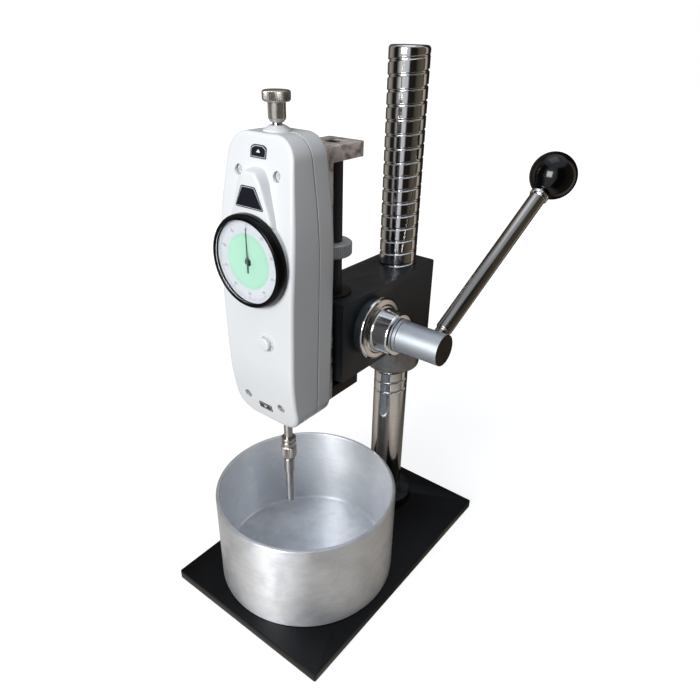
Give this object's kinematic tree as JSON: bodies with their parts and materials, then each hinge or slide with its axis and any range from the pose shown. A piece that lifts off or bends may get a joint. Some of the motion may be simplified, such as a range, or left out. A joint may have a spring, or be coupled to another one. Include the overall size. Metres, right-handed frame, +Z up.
{
  "type": "concrete penetrometer",
  "caption": "Bench penetrometer for mortar: grooved column, clamped head with lever, rack and pinion, push-pull dial gauge, needle, and a cylindrical pot on a flat base plate.",
  "frame": {"origin": "centre of the base plate's underside, on the bench", "axes": "+Z up along the column, -Y towards the dial and the operator, +X towards the lever"},
  "size_m": [0.1933, 0.2578, 0.41],
  "materials": {
    "base_black": "satin black enamel on steel plate",
    "black_oxide": "black oxide, oiled",
    "column_chrome": "hard chrome, ground and polished",
    "pot_aluminium": "turned and brushed",
    "head_black": "satin black on cast iron",
    "polished_steel": "mirror polished",
    "satin_collar": "blasted, dull",
    "hub_metal": "turned, satin",
    "stainless": "drawn bar",
    "ball_plastic": "moulded phenolic, polished",
    "nickel": "nickel plated, slightly worn",
    "gauge_paint": "gloss enamel on die casting",
    "bronze": "turned",
    "brass_plate": "stamped",
    "steel_plain": "ground",
    "plate_dark": "printed foil plate, bare",
    "button_white": "moulded",
    "bezel_black": "moulded ring",
    "dial_white": "printed dial",
    "glass_clear": "flat, clear",
    "pointer_black": "enamelled",
    "spring_steel": "wound wire"
  },
  "bodies": {
    "stand": {"base_plate": "base_black", "column_flange": "black_oxide", "column": "column_chrome", "column_bolt": "black_oxide"},
    "pot": {"pot": "pot_aluminium"},
    "head": {"head_block": "head_black", "rod_bush_upper": "black_oxide", "rod_bush_lower": "bronze", "shaft_housing": "polished_steel", "shaft_bush": "bronze", "shaft_end_cap": "black_oxide", "lock_screw": "black_oxide", "lock_pad": "brass_plate"},
    "height_nut": {"height_nut": "satin_collar", "groove_pin": "steel_plain"},
    "lever": {"pinion_shaft": "steel_plain", "hub": "hub_metal", "hub_set_screw": "black_oxide", "lever_rod": "stainless", "lever_nut": "polished_steel", "lever_ball": "ball_plastic"},
    "carriage": {"rack_rod": "black_oxide", "bracket_plate": "nickel", "bracket_top_arm": "nickel", "bracket_bottom_arm": "nickel", "bracket_screws": "black_oxide", "rod_end_screws": "black_oxide", "gauge_mount_plate": "head_black", "gauge_mount_screws": "black_oxide", "rear_cover": "gauge_paint", "front_cover": "gauge_paint", "cover_screws": "steel_plain", "gauge_frame": "steel_plain", "movement_bridge": "brass_plate", "label_plate": "plate_dark", "direction_plates": "plate_dark", "top_collar": "gauge_paint", "button_ring": "steel_plain", "button_spring": "spring_steel", "load_spring": "spring_steel"},
    "depth_stop": {"depth_stop_nut": "black_oxide"},
    "bezel": {"bezel": "bezel_black", "dial_face": "dial_white", "dial_glass": "glass_clear"},
    "hold_button": {"hold_button": "button_white"},
    "pointer": {"pointer": "pointer_black", "pointer_arbor": "steel_plain"},
    "plunger": {"plunger": "steel_plain", "crosshead": "steel_plain", "chuck_body": "stainless", "needle_holder": "stainless", "needle": "steel_plain"},
    "top_hand_nut": {"top_hand_nut": "nickel"},
    "chuck_nut": {"chuck_nut": "stainless"}
  },
  "joints": [
    {"name": "head_slide", "type": "slide", "parent": "stand", "child": "head", "axis": [0, 0, 1], "range_m": [-0.035, 0.15]},
    {"name": "height_nut_turn", "type": "hinge", "parent": "head", "child": "height_nut", "pos_m": [0, 0.0765, 0.172], "axis": [0, 0, 1], "range_deg": [-1262, 5402]},
    {"name": "carriage_slide", "type": "slide", "parent": "head", "child": "carriage", "axis": [0, 0, 1], "range_m": [-0.0267, 0.005]},
    {"name": "lever_turn", "type": "hinge", "parent": "head", "child": "lever", "pos_m": [0.0747, 0.0115, 0.223], "axis": [1, 0, 0], "range_deg": [-20.2, 107.5]},
    {"name": "plunger_slide", "type": "slide", "parent": "carriage", "child": "plunger", "axis": [0, 0, 1], "range_m": [0, 0.0095], "stiffness_N_per_m": 2000, "springref_m": -0.003, "deforming": ["load_spring"]},
    {"name": "pointer_turn", "type": "hinge", "parent": "carriage", "child": "pointer", "pos_m": [0, -0.058, 0.2944], "axis": [0, 1, 0], "range_deg": [0, 302.5]},
    {"name": "bezel_turn", "type": "hinge", "parent": "carriage", "child": "bezel", "pos_m": [0, -0.0835, 0.2944], "axis": [0, 1, 0], "continuous": true},
    {"name": "button_press", "type": "slide", "parent": "carriage", "child": "hold_button", "axis": [0, 1, 0], "range_m": [0, 0.002], "stiffness_N_per_m": 600, "springref_m": -0.002},
    {"name": "top_hand_nut_turn", "type": "hinge", "parent": "plunger", "child": "top_hand_nut", "pos_m": [0, -0.058, 0.38], "axis": [0, 0, 1], "continuous": true},
    {"name": "chuck_nut_turn", "type": "hinge", "parent": "plunger", "child": "chuck_nut", "pos_m": [0, -0.058, 0.138], "axis": [0, 0, 1], "continuous": true},
    {"name": "depth_stop_turn", "type": "hinge", "parent": "carriage", "child": "depth_stop", "pos_m": [0, -0.008, 0.283], "axis": [0, 0, 1], "continuous": true},
    {"name": "pot_slide", "type": "slide", "parent": "stand", "child": "pot", "axis": [0, 1, 0], "range_m": [-0.006, 0.012]}
  ],
  "couplings": [
    {"joint": "height_nut_turn", "follows": "head_slide", "rad_per_m": 628.32},
    {"joint": "lever_turn", "follows": "carriage_slide", "rad_per_m": -70.175},
    {"joint": "pointer_turn", "follows": "plunger_slide", "rad_per_m": 555.56}
  ]
}
